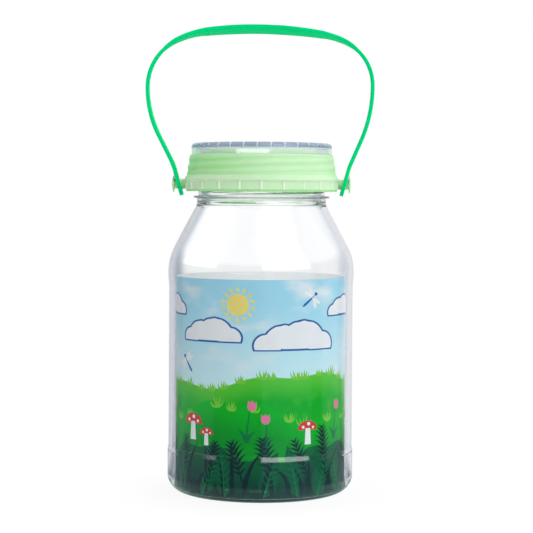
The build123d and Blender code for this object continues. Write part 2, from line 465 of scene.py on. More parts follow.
def fade(tree, value, low, high, start=0.0, end=1.0):
    """Smooth step of a value between low and high."""
    made = node(tree, "ShaderNodeMapRange")
    made.interpolation_type = "SMOOTHSTEP"
    fill(tree, made, Value=value, From_Min=low, From_Max=high, To_Min=start, To_Max=end)
    return made.outputs["Result"]


def noise(tree, place, scale, detail=2.0, roughness=0.5):
    made = node(tree, "ShaderNodeTexNoise", Vector=place, Scale=scale, Detail=detail, Roughness=roughness)
    return made.outputs["Fac"]


def round_the_axis(tree):
    """Place on a piece: its X in metres, its angle from the front and its height in millimetres."""
    split = node(tree, "ShaderNodeSeparateXYZ", Vector=node(tree, "ShaderNodeTexCoord").outputs["Object"])
    front = maths(tree, "MULTIPLY", split.outputs["Y"], -1.0)
    angle = maths(tree, "ARCTAN2", split.outputs["X"], front)
    return split.outputs["X"], angle, maths(tree, "DIVIDE", split.outputs["Z"], MM)


def toned(group, colour, share, spread):
    """Colour made lighter and darker by a share from -0.5 to 0.5, times twice a spread."""
    shade = maths(group, "MULTIPLY_ADD", share, maths(group, "MULTIPLY", spread, 2.0), 1.0)
    grey = node(group, "ShaderNodeCombineColor", Red=shade, Green=shade, Blue=shade).outputs[0]
    return tint(group, 1.0, colour, grey, "MULTIPLY")


def moulded_finish():
    """Surface of moulded plastic: slow tone drift, uneven gloss and a fine skin."""
    group, start, end = shader_group(
        "moulded_finish",
        [
            ("Color", "NodeSocketColor", (0.8, 0.8, 0.8, 1)),
            ("Drift", "NodeSocketFloat", 0.08),
            ("Roughness", "NodeSocketFloat", 0.4),
            ("Spread", "NodeSocketFloat", 0.08),
            ("Skin Scale", "NodeSocketFloat", 900.0),
        ],
        [("Color", "NodeSocketColor"), ("Roughness", "NodeSocketFloat"), ("Height", "NodeSocketFloat")],
    )
    place = node(group, "ShaderNodeTexCoord").outputs["Object"]
    slow = noise(group, place, 55.0, 3.0)
    quick = noise(group, place, 420.0, 2.0)
    level = maths(group, "SUBTRACT", slow, 0.5)
    feed(group, end.inputs["Color"], toned(group, start.outputs["Color"], level, start.outputs["Drift"]))
    uneven = maths(group, "SUBTRACT", quick, 0.5)
    gloss = maths(group, "MULTIPLY_ADD", uneven, start.outputs["Spread"], start.outputs["Roughness"])
    feed(group, end.inputs["Roughness"], gloss)
    skin = noise(group, place, start.outputs["Skin Scale"], 2.0)
    feed(group, end.inputs["Height"], maths(group, "MULTIPLY_ADD", skin, 0.35, slow))
    return group


FINISH = moulded_finish()

# How deep light soaks into the collar and the card, in metres
SOAK = 0.003

SLEEVE_GREEN = (0.62, 0.89, 0.56)
BAND_GREEN = (0.67, 0.89, 0.60)
LIP_GREEN = (0.42, 0.77, 0.36)
# Painted highlight colour for the grip ribs
RIB_HIGHLIGHT_GREEN = (0.78, 0.935, 0.73)
# Painted shade colour for the collar's left side and the grooves of the sleeve's thread waves
PAINTED_SHADE_GREEN = (0.42, 0.82, 0.35)
STRAP_GREEN = (0.0, 0.74, 0.245)


def new_material(name):
    material = bpy.data.materials.new(name)
    material.use_nodes = True
    tree = material.node_tree
    return material, tree, tree.nodes["Principled BSDF"], tree.nodes["Material Output"]


def lay_surface(tree, principled, group, bump, distance):
    """Gives a material the roughness and the relief of a placed group."""
    raised = node(tree, "ShaderNodeBump", Strength=bump, Distance=distance, Height=group.outputs["Height"])
    fill(tree, principled, Roughness=group.outputs["Roughness"], Normal=raised.outputs["Normal"])


def place_finish(tree, principled, colour, drift, roughness, spread, skin, bump):
    """Puts the moulded finish in a material: roughness and skin always, colour where one is given."""
    group = placed(tree, FINISH, Drift=drift, Roughness=roughness, Spread=spread, Skin_Scale=skin)
    if colour:
        fill(tree, group, Color=(*colour, 1))
        fill(tree, principled, Base_Color=group.outputs["Color"])
    lay_surface(tree, principled, group, bump, 0.0002)
    return group


class Clear:
    """Finish of a clear moulding: surface colour, colour passed to lamps, and tint that gathers inside."""

    def __init__(self, colour, passed, inside=None, density=0.0):
        self.colour, self.passed, self.inside, self.density = colour, passed, inside, density


CLEAR_JAR = Clear((0.99, 0.993, 0.995), (0.97, 0.975, 0.98), inside=(0.28, 0.36, 0.46), density=9.0)
CLEAR_CAP = Clear((0.985, 0.99, 0.995), (0.95, 0.97, 0.98))


def stacked(tree, under, layers, output):
    """Shaders laid over each other, each by its own share."""
    for share, over in layers:
        mixed = tree.nodes.new("ShaderNodeMixShader")
        for socket, item in zip(mixed.inputs, (share, under.outputs[0], over.outputs[0])):
            feed(tree, socket, item)
        under = mixed
    fill(tree, output, Surface=under.outputs[0])


def open_to_lamps(tree, principled, output, passed):
    """Lets lamps and bounced light through a clear piece, so that what stands behind it is lit."""
    path = node(tree, "ShaderNodeLightPath")
    lamp = maths(tree, "MAXIMUM", path.outputs["Is Shadow Ray"], path.outputs["Is Diffuse Ray"])
    open_way = node(tree, "ShaderNodeBsdfTransparent", Color=(*passed, 1))
    stacked(tree, principled, ((lamp, open_way),), output)


def clear_plastic(name, clear, see_through=1.0):
    """Clear moulding: glass for the eye, and open to lamps and bounced light so that its inside is lit."""
    material, tree, principled, output = new_material(name)
    fill(tree, principled, Base_Color=(*clear.colour, 1), Transmission_Weight=see_through, IOR=1.5)
    place_finish(tree, principled, None, 0.0, 0.0, 0.01, 700.0, 0.002)
    open_to_lamps(tree, principled, output, clear.passed)
    if clear.inside:
        inside = node(tree, "ShaderNodeVolumeAbsorption", Color=(*clear.inside, 1), Density=clear.density)
        fill(tree, output, Volume=inside.outputs[0])
    return material


def rim_plastic(name, colour):
    """Knurled rim of the cap: clear plastic that gathers a smoky tone."""
    material, tree, principled, output = new_material(name)
    place_finish(tree, principled, colour, 0.12, 0.22, 0.1, 700.0, 0.03)
    fill(tree, principled, Transmission_Weight=0.15, IOR=1.5)
    open_to_lamps(tree, principled, output, (0.85, 0.88, 0.92))
    return material


def collar_plastic():
    """Pale green, milky, slightly see-through plastic, with painted shade in the grooves of the sleeve's
    thread waves and painted shade towards its left side, paler in the grip band, and a painted highlight on
    the ribs."""
    material, tree, principled, _ = new_material("pale_green_collar")
    group = place_finish(tree, principled, SLEEVE_GREEN, 0.04, 0.36, 0.1, 800.0, 0.06)
    across, angle, height = round_the_axis(tree)
    turns = maths(tree, "DIVIDE", angle, TURN)
    climb = maths(tree, "DIVIDE", maths(tree, "SUBTRACT", height, THREAD_FRONT_Z), THREAD_PITCH)
    climb = maths(tree, "SUBTRACT", climb, maths(tree, "MULTIPLY", turns, THREAD_STARTS))
    crest = maths(tree, "COSINE", maths(tree, "MULTIPLY", climb, TURN))
    # Painted shade: the colour deepens towards the collar's left side, away from the light
    deep = fade(tree, across, 0.0, -0.9 * SLEEVE_TOP_R * MM)
    # Painted shade in the grooves between the sleeve's thread waves, stronger towards the left side
    root = maths(tree, "MULTIPLY", fade(tree, crest, 0.5, -0.9), fade(tree, height, SEAT_Z, SEAT_Z - 1.5))
    root = maths(tree, "MULTIPLY", root, maths(tree, "MULTIPLY_ADD", deep, 0.7, 0.22))
    # Painted highlight: lighter colour on each grip rib and its flanks
    off_rib = maths(tree, "FRACT", maths(tree, "MULTIPLY_ADD", turns, GRIP_RIBS, 0.5))
    off_rib = maths(tree, "ABSOLUTE", maths(tree, "SUBTRACT", off_rib, 0.5))
    off_rib = maths(tree, "MULTIPLY", off_rib, RIB_PITCH * GRIP_R)
    in_grip = fade(tree, height, GRIP_TOP_Z + 0.3, GRIP_TOP_Z - 0.5)
    on_rib = maths(tree, "MULTIPLY", fade(tree, off_rib, 0.9, 0.5), in_grip)
    in_band = fade(tree, height, BAND_TOP_Z + 0.2, BAND_TOP_Z - 0.6)
    in_lip = fade(tree, height, LIP_TOP_Z + 0.3, LIP_TOP_Z - 0.3)
    colour = tint(tree, maths(tree, "MULTIPLY", deep, 0.7), (*SLEEVE_GREEN, 1), (*PAINTED_SHADE_GREEN, 1))
    colour = tint(tree, root, colour, (*PAINTED_SHADE_GREEN, 1))
    colour = tint(tree, in_band, colour, (*BAND_GREEN, 1))
    colour = tint(tree, on_rib, colour, (*RIB_HIGHLIGHT_GREEN, 1))
    feed(tree, group.inputs["Color"], tint(tree, in_lip, colour, (*LIP_GREEN, 1)))
    fill(tree, principled, Subsurface_Weight=0.7, Subsurface_Radius=(0.5, 1.0, 0.45), Subsurface_Scale=SOAK)
    fill(tree, principled, Specular_IOR_Level=0.3, IOR=1.45)
    return material


def strap_plastic():
    """Bright green satin plastic with a fine moulded grain."""
    material, tree, principled, _ = new_material("green_strap")
    place_finish(tree, principled, STRAP_GREEN, 0.03, 0.5, 0.1, 1500.0, 0.015)
    fill(tree, principled, Specular_IOR_Level=0.006, IOR=1.46)
    return material


def paper_grain():
    """Fine fibre and print grain shared by the card's bare side, its printed side and each ink."""
    group, start, end = shader_group(
        "paper_grain",
        [("Color", "NodeSocketColor", (0.8, 0.8, 0.8, 1)), ("Grain", "NodeSocketFloat", 0.06)],
        [("Color", "NodeSocketColor"), ("Roughness", "NodeSocketFloat"), ("Height", "NodeSocketFloat")],
    )
    place = node(group, "ShaderNodeTexCoord").outputs["Object"]
    fibre = noise(group, place, 1400.0, 3.0, 0.6)
    patch = noise(group, place, 160.0, 2.0)
    mixed = maths(group, "MULTIPLY_ADD", fibre, 0.6, maths(group, "MULTIPLY", patch, 0.4))
    level = maths(group, "SUBTRACT", mixed, 0.5)
    feed(group, end.inputs["Color"], toned(group, start.outputs["Color"], level, start.outputs["Grain"]))
    feed(group, end.inputs["Roughness"], maths(group, "MULTIPLY_ADD", fibre, 0.15, 0.42))
    feed(group, end.inputs["Height"], fibre)
    return group


GRAIN = paper_grain()


def place_grain(tree, principled, colour, grain):
    """Puts the paper's grain in a material, under a colour."""
    group = placed(tree, GRAIN, Color=colour, Grain=grain)
    fill(tree, principled, Base_Color=group.outputs["Color"], Specular_IOR_Level=0.08)
    lay_surface(tree, principled, group, 0.1, 0.0001)


def bare_card():
    """Unprinted side and edges of the card."""
    material, tree, principled, _ = new_material("bare_card")
    place_grain(tree, principled, (0.96, 0.97, 0.975, 1), 0.05)
    fill(tree, principled, Subsurface_Weight=0.85, Subsurface_Radius=(1.0, 1.0, 1.0), Subsurface_Scale=SOAK)
    return material


def ink(name, colour):
    """One flat ink of the print, with the card's grain."""
    material, tree, principled, _ = new_material(name)
    place_grain(tree, principled, (*colour, 1), 0.1)
    return material


# Ridge lines of the printed hills: height, then waves of (swing, wavelength, shift) along the card
FAR_HILL = (54.0, ((3.0, 105.0, 0.4), (1.2, 37.0, 2.0)))
MIDDLE_HILL = (41.0, ((4.0, 86.0, 2.6), (1.1, 29.0, 0.6)))
NEAR_HILL = (22.0, ((3.4, 64.0, 4.4), (1.4, 21.0, 1.0)))
RIDGE_SOFT = 0.25
SKY_TOP = (0.38, 0.75, 0.91, 1)
SKY_LOW = (0.66, 0.92, 0.97, 1)
HAZE = (0.80, 0.90, 0.94, 1)
FAR_TOP = (0.10, 0.60, 0.04, 1)
FAR_FOOT = (0.0, 0.44, 0.018, 1)
MIDDLE_TOP = (0.0, 0.49, 0.016, 1)
MIDDLE_FOOT = (0.0, 0.32, 0.024, 1)
NEAR_TOP = (0.0, 0.13, 0.04, 1)
NEAR_FOOT = (0.004, 0.03, 0.035, 1)


def printed_card():
    """Printed side of the card: hazy sky over three rows of hills."""
    material, tree, principled, _ = new_material("printed_card")
    _, angle, height = round_the_axis(tree)
    along = maths(tree, "MULTIPLY", angle, CARD_R)
    flat = node(tree, "ShaderNodeCombineXYZ", X=along, Y=height).outputs[0]

    def above(hill):
        base, waves = hill
        ridge = base
        for swing, wavelength, shift in waves:
            wave = maths(tree, "SINE", maths(tree, "MULTIPLY_ADD", along, TURN / wavelength, shift))
            ridge = maths(tree, "MULTIPLY_ADD", wave, swing, ridge)
        return maths(tree, "SUBTRACT", height, ridge)

    picture = tint(tree, fade(tree, height, 45.0, 95.0), SKY_LOW, SKY_TOP)
    stretched = vector_maths(tree, "MULTIPLY", flat, (0.034, 0.06, 1.0))
    puff = noise(tree, stretched.outputs[0], 1.0, 4.0, 0.55)
    picture = tint(tree, fade(tree, puff, 0.48, 0.70), picture, HAZE)
    dapple = fade(tree, noise(tree, flat, 0.16, 3.0), 0.45, 0.75, 0.0, 0.35)
    for hill, top, foot, depth in (
        (FAR_HILL, FAR_TOP, FAR_FOOT, 12.0),
        (MIDDLE_HILL, MIDDLE_TOP, MIDDLE_FOOT, 16.0),
        (NEAR_HILL, NEAR_TOP, NEAR_FOOT, 18.0),
    ):
        rise = above(hill)
        slope = tint(tree, fade(tree, rise, -depth, 0.0), foot, top)
        slope = tint(tree, dapple, slope, top)
        picture = tint(tree, fade(tree, rise, RIDGE_SOFT, -RIDGE_SOFT), picture, slope)
    place_grain(tree, principled, picture, 0.05)
    return material


# Pieces

def jar_wall():
    """Jar: base, label panel, shoulder, support ring and threaded neck, in one blown wall."""
    slope = math.tan(SHOULDER_TILT)
    neck_z = SHOULDER_Z + (BODY_R - NECK_R) / slope
    inner_shoulder_z = SHOULDER_Z - SHELL * math.tan(SHOULDER_TILT / 2)
    inner_neck_z = inner_shoulder_z + (INNER_R - MOUTH_R) / slope
    support_top_z = SUPPORT_Z + SUPPORT_T
    corners = [
        (STAND_R, 0, 0),
        (BODY_R, 0, BASE_CORNER),
        (BODY_R, PANEL_LOW_Z, PANEL_LOW_EDGE),
        (PANEL_R, PANEL_LOW_Z + PANEL_LOW_STEP, PANEL_LOW_EDGE),
        (PANEL_R, PANEL_TOP_Z - PANEL_TOP_STEP, PANEL_TOP_EDGE),
        (BODY_R, PANEL_TOP_Z, PANEL_TOP_EDGE),
        (BODY_R, SHOULDER_Z, SHOULDER_BLEND),
        (NECK_R, neck_z, NECK_BLEND),
        (NECK_R, SUPPORT_Z, NECK_EDGE),
        (SUPPORT_R, SUPPORT_Z, SUPPORT_EDGE),
        (SUPPORT_R, support_top_z, SUPPORT_EDGE),
        (FINISH_R, support_top_z, NECK_EDGE),
        (FINISH_R, RIM_Z, 0),
    ]
    outer = rounded(corners, JAR_STEP)[:-1]
    thread_low = (FINISH_R, support_top_z + 0.8)
    thread_high = (FINISH_R, RIM_Z - 1.0)
    outer += [thread_low, *divided(thread_low, thread_high, NECK_THREAD_STEP), thread_high]
    inner = rounded(
        [
            (FINISH_R, RIM_Z - 0.9, 0),
            (FINISH_R, RIM_Z, RIM_EDGE),
            (MOUTH_R, RIM_Z, RIM_EDGE),
            (MOUTH_R, inner_neck_z, NECK_BLEND + SHELL),
            (INNER_R, inner_shoulder_z, SHOULDER_BLEND - SHELL),
            (INNER_R, PANEL_TOP_Z, PANEL_TOP_EDGE),
            (INNER_R - PANEL_IN, PANEL_TOP_Z - PANEL_TOP_STEP, PANEL_TOP_EDGE),
            (INNER_R - PANEL_IN, PANEL_LOW_Z + PANEL_LOW_STEP, PANEL_LOW_EDGE),
            (INNER_R, PANEL_LOW_Z, PANEL_LOW_EDGE),
            (INNER_R, FLOOR, BASE_INNER),
            (STAND_R, FLOOR, 0),
        ],
        JAR_STEP,
    )[1:]
    floor_under = dome(STAND_R, 0, PUSH_UP, FLOOR_STEPS)[:-1]
    floor_top = dome(STAND_R, FLOOR, PUSH_UP + FLOOR, FLOOR_STEPS)[:-1]

    def threaded(r, z, angle):
        if abs(r - FINISH_R) > 0.01 or not thread_low[1] <= z <= thread_high[1]:
            return r
        crest = smooth_step(NECK_THREAD_W / 2, NECK_THREAD_W / 5, abs(thread_offset(z, angle)))
        return r + NECK_THREAD_H * crest * faded_ends(z, thread_low[1], thread_high[1], 2.5, 2.0)

    outline = floor_under + outer + inner + floor_top[::-1]
    return lathe("clear_jar", outline, even_angles(JAR_FACETS), threaded)


def collar_ring():
    """Collar: lip, ribbed grip, band, sleeve that shows the thread, seat for the cap and window ring."""
    low = rounded(
        [
            (BORE_R, COLLAR_Z + 2.0, 0),
            (BORE_R, COLLAR_Z, COLLAR_EDGE),
            (LIP_R, COLLAR_Z, COLLAR_EDGE),
            (LIP_R, LIP_TOP_Z, 0),
        ]
    )[1:]
    grip = [(GRIP_R, LIP_TOP_Z + 0.02), (GRIP_R, (LIP_TOP_Z + GRIP_TOP_Z) / 2), (GRIP_R, GRIP_TOP_Z)]
    sleeve_top = (SLEEVE_TOP_R, SEAT_Z)
    band = rounded(
        [
            (GRIP_R, GRIP_TOP_Z, 0),
            (BAND_R, GRIP_TOP_Z, COLLAR_EDGE),
            (BAND_R, BAND_FACE_Z, BAND_EDGE),
            (SLEEVE_LOW_R, BAND_TOP_Z, SLEEVE_FOOT_EDGE),
            (*sleeve_top, 0),
        ]
    )[1:-1]
    relief = divided(band[-1], sleeve_top, BORE_THREAD_STEP)[:-1]
    top = rounded(
        [
            (*relief[-1], 0),
            (*sleeve_top, COLLAR_EDGE),
            (SPIGOT_R, SEAT_Z, COLLAR_EDGE),
            (SPIGOT_R, SPIGOT_TOP_Z, SPIGOT_EDGE),
            (WINDOW_R, SPIGOT_TOP_Z, COLLAR_EDGE),
            (WINDOW_R, RIM_Z, WINDOW_EDGE),
            (BORE_R, RIM_Z, COLLAR_EDGE),
            (BORE_R, RIM_Z - 2.0, 0),
        ]
    )[1:-1]
    bore_high = (BORE_R, RIM_Z - 0.8)
    bore_low = (BORE_R, COLLAR_Z + 0.8)
    bore = [bore_high, *divided(bore_high, bore_low, BORE_THREAD_STEP), bore_low]

    rib_half = math.asin(GRIP_RIB_R / GRIP_R)
    on_rib = [rib_half * s for s in (-1, -0.92, -0.75, -0.5, -0.25, 0, 0.25, 0.5, 0.75, 0.92, 1)]
    gap = RIB_PITCH - 2 * rib_half
    between = [rib_half + gap * i / 9 for i in range(1, 9)]
    angles = [RIB_PITCH * k + a for k in range(GRIP_RIBS) for a in on_rib + between]

    def shaped(r, z, angle):
        if abs(r - GRIP_R) < 0.005 and LIP_TOP_Z < z <= GRIP_TOP_Z:
            off = nearest(angle, RIB_PITCH) * GRIP_R
            return r + math.sqrt(max(0.0, GRIP_RIB_R**2 - off**2))
        if abs(r - BORE_R) < 0.005 and bore_low[1] <= z <= bore_high[1]:
            root = THREAD_PITCH / 2 - abs(thread_offset(z, angle))
            ridge = smooth_step(0.85, 0.3, root)
            return r - BORE_THREAD_H * ridge * faded_ends(z, bore_low[1], bore_high[1], 2.0, 2.0)
        if SLEEVE_TOP_R - 0.01 <= r <= SLEEVE_LOW_R and BAND_TOP_Z < z < SEAT_Z:
            wave = math.cos(TURN * thread_offset(z, angle) / THREAD_PITCH)
            return r + SLEEVE_WAVE * wave * faded_ends(z, BAND_TOP_Z + 0.3, SEAT_Z - 0.3, 1.3, 1.3)
        return r

    return lathe("screw_collar", low + grip + band + relief + top + bore, angles, shaped, closed=True)


def strap_lug(name, side):
    """Mushroom lug that the strap buttons over, turned about the X axis."""
    outline = [(0, LUG_ROOT_X), (LUG_NECK_R, LUG_ROOT_X)]
    outline += rounded(
        [
            (LUG_NECK_R, LUG_ROOT_X + 0.5, 0),
            (LUG_NECK_R, LUG_HEAD_X, LUG_NECK_EDGE),
            (LUG_HEAD_R, LUG_HEAD_X, LUG_HEAD_EDGE),
            (LUG_HEAD_R, LUG_HEAD_X + LUG_EDGE, 0),
        ]
    )
    outline += dome(LUG_HEAD_R, LUG_HEAD_X + LUG_EDGE, LUG_TIP_X, 10)[-2::-1]
    lug = lathe(name, outline, even_angles(LUG_FACETS))
    lug.data.transform(LUG_AXIS @ Matrix.Rotation(side * math.pi / 2, 4, "Y"))
    return lug


def off_knurl_gap(angle):
    """Angle to the nearest gap between two knurls."""
    return abs(nearest(angle - KNURL_TURN, KNURL_PITCH))


def pin(radius, reach):
    """Outline of a plain pin that cuts a hole, from minus to plus its reach."""
    return [(0, -reach), (radius, -reach), (radius, reach), (0, reach)]


def cap_disc():
    """Clear cap: knurled skirt, raised rim, ring round the collar's spigot, lens and breathe holes."""
    skirt = rounded(
        [
            (CAP_RIM_R, PLATE_TOP_Z, RING_EDGE),
            (CAP_RIM_R, CAP_TOP_Z, CAP_RIM_EDGE),
            (CAP_R, CAP_TOP_Z, CAP_EDGE),
            (CAP_R, KNURL_LOW_Z, 0),
        ]
    )
    lower = rounded(
        [
            (CAP_R, KNURL_LOW_Z - 0.02, 0),
            (CAP_R, KNURL_LOW_Z - RIM_LINE, 0),
            (CAP_R, SEAT_Z, CAP_FOOT_EDGE),
            (CAP_SKIRT_R, SEAT_Z, CAP_FOOT_EDGE),
            (CAP_SKIRT_R, PLATE_LOW_Z, PLATE_EDGE),
            (CAP_RING_R + CAP_RING_T, PLATE_LOW_Z, PLATE_EDGE),
            (CAP_RING_R + CAP_RING_T, CAP_RING_Z, RING_EDGE),
            (CAP_RING_R, CAP_RING_Z, RING_EDGE),
            (CAP_RING_R, PLATE_LOW_Z, PLATE_EDGE),
            (LENS_R, PLATE_LOW_Z, 0),
        ]
    )
    lens_top = dome(LENS_R, PLATE_TOP_Z, PLATE_TOP_Z + LENS_TOP_SAG, LENS_STEPS)
    lens_low = dome(LENS_R, PLATE_LOW_Z, PLATE_LOW_Z - LENS_LOW_SAG, LENS_STEPS)
    on_gap = [KNURL_GAP_HALF * s for s in (-1.25, -1.0, -0.8, 0.8, 1.0, 1.25)]
    block = KNURL_PITCH - 2.5 * KNURL_GAP_HALF
    between = [1.25 * KNURL_GAP_HALF + block * i / 6 for i in range(1, 6)]
    angles = [KNURL_TURN + KNURL_PITCH * k + a for k in range(KNURLS) for a in on_gap + between]

    def knurled(r, z, angle):
        if r < CAP_R - CAP_EDGE or z < KNURL_LOW_Z - 0.001:
            return r
        groove = smooth_step(KNURL_GAP_HALF * 1.1, KNURL_GAP_HALF * 0.85, off_knurl_gap(angle))
        return r - groove * max(0.0, min(KNURL_DEPTH, r - (CAP_R - KNURL_DEPTH)))

    outline = lens_top + skirt + lower[:-1] + lens_low[::-1]
    cap = lathe("magnifier_disc", outline, angles, knurled)
    holes = []
    for angle in even_angles(BREATHE_HOLES):
        outline = pin(BREATHE_HOLE_R, PLATE_TOP_Z - PLATE_LOW_Z)
        hole = lathe("breathe_hole", outline, even_angles(HOLE_FACETS))
        circle = BREATHE_CIRCLE_R * Vector((math.cos(angle), math.sin(angle), 0))
        hole.location = (circle + Vector((0, 0, (PLATE_LOW_Z + PLATE_TOP_Z) / 2))) * MM
        holes.append(hole)
    bpy.context.view_layer.update()
    cut_holes(cap, holes)
    cap_finishes(cap)
    return cap


def cap_finishes(cap):
    """Gives the cap's faces their finishes: smoky knurls, pale lines round them, clear elsewhere."""
    for material in (
        clear_plastic("clear_cap", CLEAR_CAP),
        rim_plastic("cap_rim", (0.31, 0.38, 0.52)),
        rim_plastic("cap_rim_line", (0.74, 0.80, 0.86)),
        clear_plastic("cap_skirt", CLEAR_CAP, 0.66),
    ):
        cap.data.materials.append(material)
    for face in cap.data.polygons:
        middle = sum((cap.data.vertices[v].co for v in face.vertices), Vector()) / len(face.vertices) / MM
        out = middle.xy.length
        outward = face.normal.z > 0.3 or face.normal.xy.dot(middle.xy) > 0.3 * out
        if outward and middle.z > KNURL_LOW_Z and out > CAP_R - CAP_EDGE:
            off = off_knurl_gap(math.atan2(middle.x, -middle.y))
            face.material_index = 1 if off > KNURL_GAP_HALF else 2
        elif outward and out > CAP_R - 0.1:
            face.material_index = 2 if middle.z > KNURL_LOW_Z - RIM_LINE else 3


def heading(tilt):
    """Direction at a tilt in degrees from upright, positive towards +X."""
    return Vector((math.sin(math.radians(tilt)), math.cos(math.radians(tilt))))


def bend(radius, start, end):
    """Way covered by an arc that turns from one tilt to another."""
    first, last = heading(start), heading(end)
    side = 1 if end > start else -1
    return side * radius * Vector((first.y - last.y, last.x - first.x))


def strap_line():
    """Points (x, z, tilt) along the strap, from the end on +X over the crown to the end on -X."""
    knee = Vector((STRAP_LUG_X + TAB_RISE * math.tan(math.radians(TAB_TILT)), LUG_Z + TAB_RISE))
    tilts = [
        RIGHT_LEG_TILT,
        BOW_TILT,
        BOW_TILT + RIGHT_EASE_SLOPE - 90,
        BOW_TILT + RIGHT_CROWN_SLOPE - 90,
        BOW_TILT - LEFT_CROWN_SLOPE - 90,
        BOW_TILT - LEFT_EASE_SLOPE - 90,
        BOW_TILT - 180,
        -180 - LEFT_LEG_TILT,
    ]
    radii = [RIGHT_HAUNCH_R, RIGHT_SHOULDER_R, EASE_R, CROWN_R, EASE_R, LEFT_SHOULDER_R, LEFT_HAUNCH_R]
    bow = list(zip(radii, tilts, tilts[1:]))
    knees = [(TAB_BEND_R, TAB_TILT, tilts[0]), (TAB_BEND_R, tilts[-1], -180 - TAB_TILT)]
    span = Vector((-2 * knee.x, 0)) - sum((bend(*arc) for arc in knees + bow), Vector((0, 0)))
    up, down = heading(tilts[0]), heading(tilts[-1])
    cross = up.x * down.y - up.y * down.x
    rise = (span.x * down.y - span.y * down.x) / cross
    fall = (up.x * span.y - up.y * span.x) / cross
    tab = (TAB_RISE + STRAP_END_DROP) / math.cos(math.radians(TAB_TILT))
    runs = [(tab, TAB_TILT), knees[0], (rise, tilts[0]), *bow]
    runs += [(fall, tilts[-1]), knees[1], (tab, -180 - TAB_TILT)]
    here = knee - tab * heading(TAB_TILT)
    line = [(here.x, here.y, TAB_TILT)]
    for run in runs:
        straight = len(run) == 2
        length = run[0] if straight else run[0] * math.radians(abs(run[2] - run[1]))
        count = max(2, math.ceil(length / STRAP_STEP))
        for i in range(1, count + 1):
            if straight:
                tilt = run[1]
                point = here + heading(tilt) * length * i / count
            else:
                tilt = run[1] + (run[2] - run[1]) * i / count
                point = here + bend(run[0], run[1], tilt)
            line.append((point.x, point.y, tilt))
        here = Vector(line[-1][:2])
    return line


def strap_twist(tilt):
    """Twist of the strap where its way has a tilt, in radians."""
    stops = STRAP_TWIST
    if tilt <= stops[0][0] or tilt >= stops[-1][0]:
        return math.radians(stops[0][1] if tilt <= stops[0][0] else stops[-1][1])
    for (low, before), (high, after) in zip(stops, stops[1:]):
        if tilt <= high:
            return math.radians(before + (after - before) * (tilt - low) / (high - low))


def carry_strap():
    """Strap: flat band with round edges and round ends, buttoned on the lugs."""
    line = strap_line()
    lengths = [0.0]
    for before, after in zip(line, line[1:]):
        lengths.append(lengths[-1] + (Vector(after[:2]) - Vector(before[:2])).length)
    total = lengths[-1]
    ends = [STRAP_END_CORNER * (1 - math.cos(math.pi / 2 * i / 8)) for i in range(9)]
    stations = ends + [s for s in lengths if STRAP_END_CORNER < s < total - STRAP_END_CORNER]
    stations += [total - e for e in ends[::-1]]
    verts, rings = [], []
    for s in stations:
        i = max(k for k in range(len(lengths)) if lengths[k] <= s + 1e-9)
        i = min(i, len(lengths) - 2)
        share = (s - lengths[i]) / (lengths[i + 1] - lengths[i])
        x, z, tilt = (a + (b - a) * share for a, b in zip(line[i], line[i + 1]))
        z = LUG_Z + (z - LUG_Z) * STRAP_SAG
        out = Vector((heading(tilt).y, 0, -heading(tilt).x))
        twist = strap_twist(tilt)
        wide = math.cos(twist) * Vector((0, 1, 0)) + math.sin(twist) * out
        thick = math.cos(twist) * out - math.sin(twist) * Vector((0, 1, 0))
        drop = STRAP_END_CORNER - min(s, total - s, STRAP_END_CORNER)
        half_w = STRAP_W / 2 - STRAP_END_CORNER + math.sqrt(max(0.0, STRAP_END_CORNER**2 - drop**2))
        ring = []
        for across, through in strap_section(half_w):
            ring.append(len(verts))
            verts.append(Vector((x, 0, z)) + wide * across + thick * through)
        rings.append(ring)
    faces = [rings[0][::-1], rings[-1]]
    for low, high in zip(rings, rings[1:]):
        for i in range(len(low)):
            j = (i + 1) % len(low)
            faces.append([low[i], low[j], high[j], high[i]])
    strap = make_object("carry_band", verts, faces)
    hole = lathe("lug_hole", pin(STRAP_HOLE_R, LUG_TIP_X + STRAP_T), even_angles(LUG_FACETS))
    hole.data.transform(LUG_AXIS @ Matrix.Rotation(math.pi / 2, 4, "Y"))
    cut_holes(strap, [hole])
    strap.data.transform(LUG_AXIS @ Matrix.Rotation(-STRAP_LEAN, 4, "X") @ LUG_AXIS.inverted())
    return strap


def strap_section(half_w):
    """Strap section as (across, through) points, with round edges."""
    half_t = STRAP_T / 2
    points = []
    for side_w, side_t, start in ((1, 1, 0.0), (-1, 1, 0.25), (-1, -1, 0.5), (1, -1, 0.75)):
        centre = (side_w * (half_w - STRAP_EDGE), side_t * (half_t - STRAP_EDGE))
        points += arc_points(centre, STRAP_EDGE, start * TURN, (start + 0.25) * TURN, 4)
    return points


def rolled_card():
    """Card rolled into an open ring, printed outside and bare inside."""
    half_seam = CARD_SEAM / 2 / CARD_R
    count = CARD_FACETS
    angles = [-math.pi + half_seam + (TURN - 2 * half_seam) * i / count for i in range(count + 1)]
    heights = [CARD_LOW_Z + (CARD_TOP_Z - CARD_LOW_Z) * i / CARD_ROWS for i in range(CARD_ROWS + 1)]
    loop = [(CARD_R, z) for z in heights] + [(CARD_R - CARD_T, z) for z in heights[::-1]]
    verts = [(r * math.sin(a), -r * math.cos(a), z) for a in angles for r, z in loop]
    size = len(loop)
    faces = []
    for k in range(count):
        for i in range(size):
            j = (i + 1) % size
            faces.append([k * size + i, k * size + j, (k + 1) * size + j, (k + 1) * size + i])
    faces += [list(range(size)), [count * size + i for i in range(size)]]
    card = make_object("rolled_card", verts, faces)
    card.data.materials.append(printed_card())
    card.data.materials.append(bare_card())
    middle = (CARD_R - CARD_T / 2) * MM
    for face in card.data.polygons:
        spots = [Vector(card.data.vertices[v].co[:2]).length for v in face.vertices]
        face.material_index = 0 if min(spots) > middle else 1
    return card


